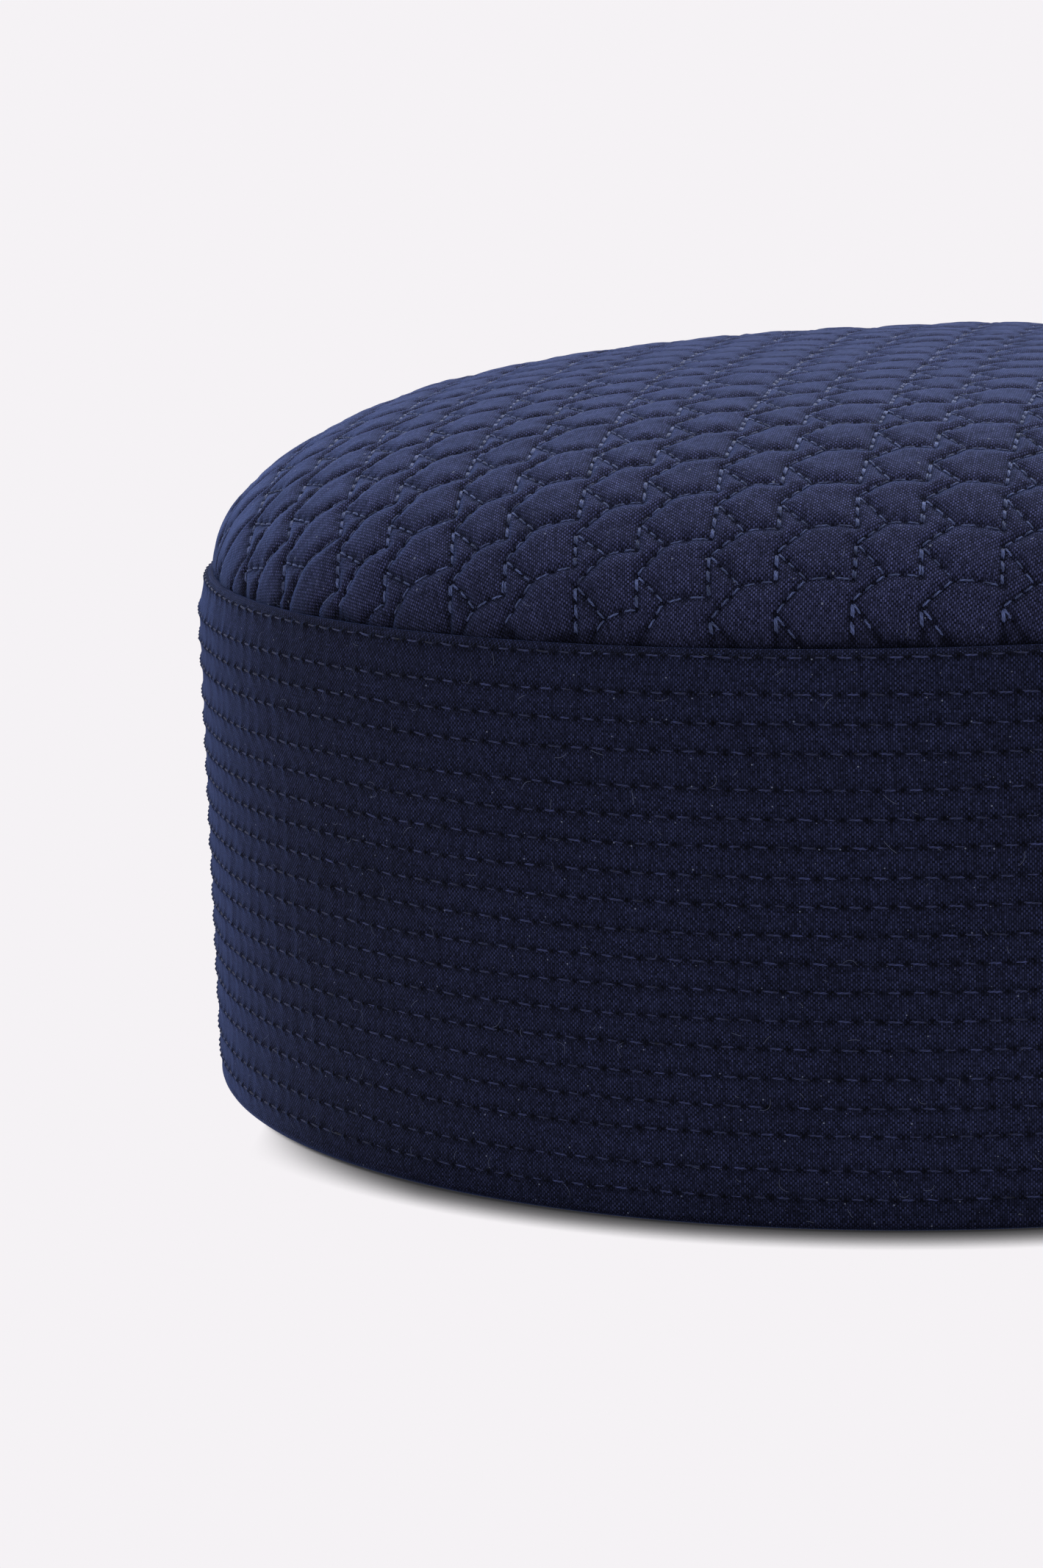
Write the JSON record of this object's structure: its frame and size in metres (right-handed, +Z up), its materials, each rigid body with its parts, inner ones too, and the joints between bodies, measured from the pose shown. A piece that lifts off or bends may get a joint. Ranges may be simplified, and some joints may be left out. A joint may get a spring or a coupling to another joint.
{
  "type": "round quilted cap",
  "caption": "Brimless round cloth cap: a tall stiffened band stitched in level rows and a low quilted crown, hollow underneath.",
  "frame": {"origin": "centre of the rim, on the surface that the cap stands on", "axes": "+Z up through the middle of the crown; -Y is the front and the band's join is at the back, +Y"},
  "size_m": [0.1802, 0.1802, 0.0863],
  "materials": {
    "band_cloth": "plain-woven cotton, matt, row-stitched",
    "crown_cloth": "plain-woven cotton, matt, quilted",
    "lining_cloth": "thin plain-woven cotton",
    "binding_tape": "narrow woven tape",
    "band_thread": "spun polyester sewing thread",
    "crown_thread": "spun polyester sewing thread, lighter",
    "under_thread": "spun polyester sewing thread",
    "wadding": "loose polyester wadding",
    "stiffener": "bonded stiffening felt"
  },
  "bodies": {
    "root": {"band_join_thread": "band_thread", "band_lining": "lining_cloth", "band_shell": "band_cloth", "band_stiffener": "stiffener", "band_wadding": "wadding", "crown_backing": "lining_cloth", "crown_quilt_thread": "crown_thread", "crown_quilt_underthread": "under_thread", "crown_shell": "crown_cloth", "crown_wadding": "wadding", "lining_join_thread": "under_thread", "row_thread_01": "band_thread", "row_thread_02": "band_thread", "row_thread_03": "band_thread", "row_thread_04": "band_thread", "row_thread_05": "band_thread", "row_thread_06": "band_thread", "row_thread_07": "band_thread", "row_thread_08": "band_thread", "row_thread_09": "band_thread", "row_thread_10": "band_thread", "row_thread_11": "band_thread", "row_thread_12": "band_thread", "row_thread_13": "band_thread", "row_thread_14": "band_thread", "row_thread_15": "band_thread", "row_thread_16": "band_thread", "row_thread_17": "band_thread", "row_thread_18": "band_thread", "row_thread_19": "band_thread", "row_underthread_01": "under_thread", "row_underthread_02": "under_thread", "row_underthread_03": "under_thread", "row_underthread_04": "under_thread", "row_underthread_05": "under_thread", "row_underthread_06": "under_thread", "row_underthread_07": "under_thread", "row_underthread_08": "under_thread", "row_underthread_09": "under_thread", "row_underthread_10": "under_thread", "row_underthread_11": "under_thread", "row_underthread_12": "under_thread", "row_underthread_13": "under_thread", "row_underthread_14": "under_thread", "row_underthread_15": "under_thread", "row_underthread_16": "under_thread", "row_underthread_17": "under_thread", "row_underthread_18": "under_thread", "row_underthread_19": "under_thread", "seam_binding": "binding_tape"}
  },
  "joints": []
}
